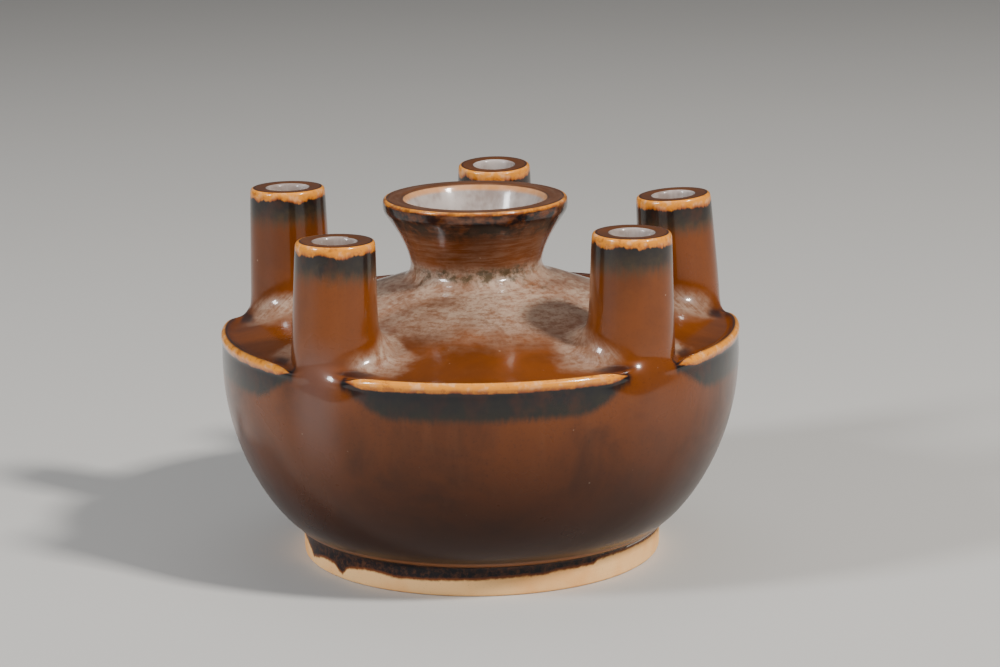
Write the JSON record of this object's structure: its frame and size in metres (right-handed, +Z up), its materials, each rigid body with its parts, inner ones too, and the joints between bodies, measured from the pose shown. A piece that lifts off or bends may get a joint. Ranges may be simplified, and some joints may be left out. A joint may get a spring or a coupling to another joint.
{
  "type": "five-spout vessel",
  "caption": "Small brown-glazed stoneware vessel with a trumpet neck and a ring of short tubular spouts on its shoulder.",
  "frame": {"origin": "centre of the outline box on the table plane the foot stands on", "axes": "+Z up through the neck, the pictured front faces -Y"},
  "size_m": [0.1195, 0.1194, 0.0824],
  "materials": {
    "vessel": "glossy brown glaze, bare buff foot"
  },
  "bodies": {
    "root": {"vessel": "vessel"}
  },
  "joints": []
}
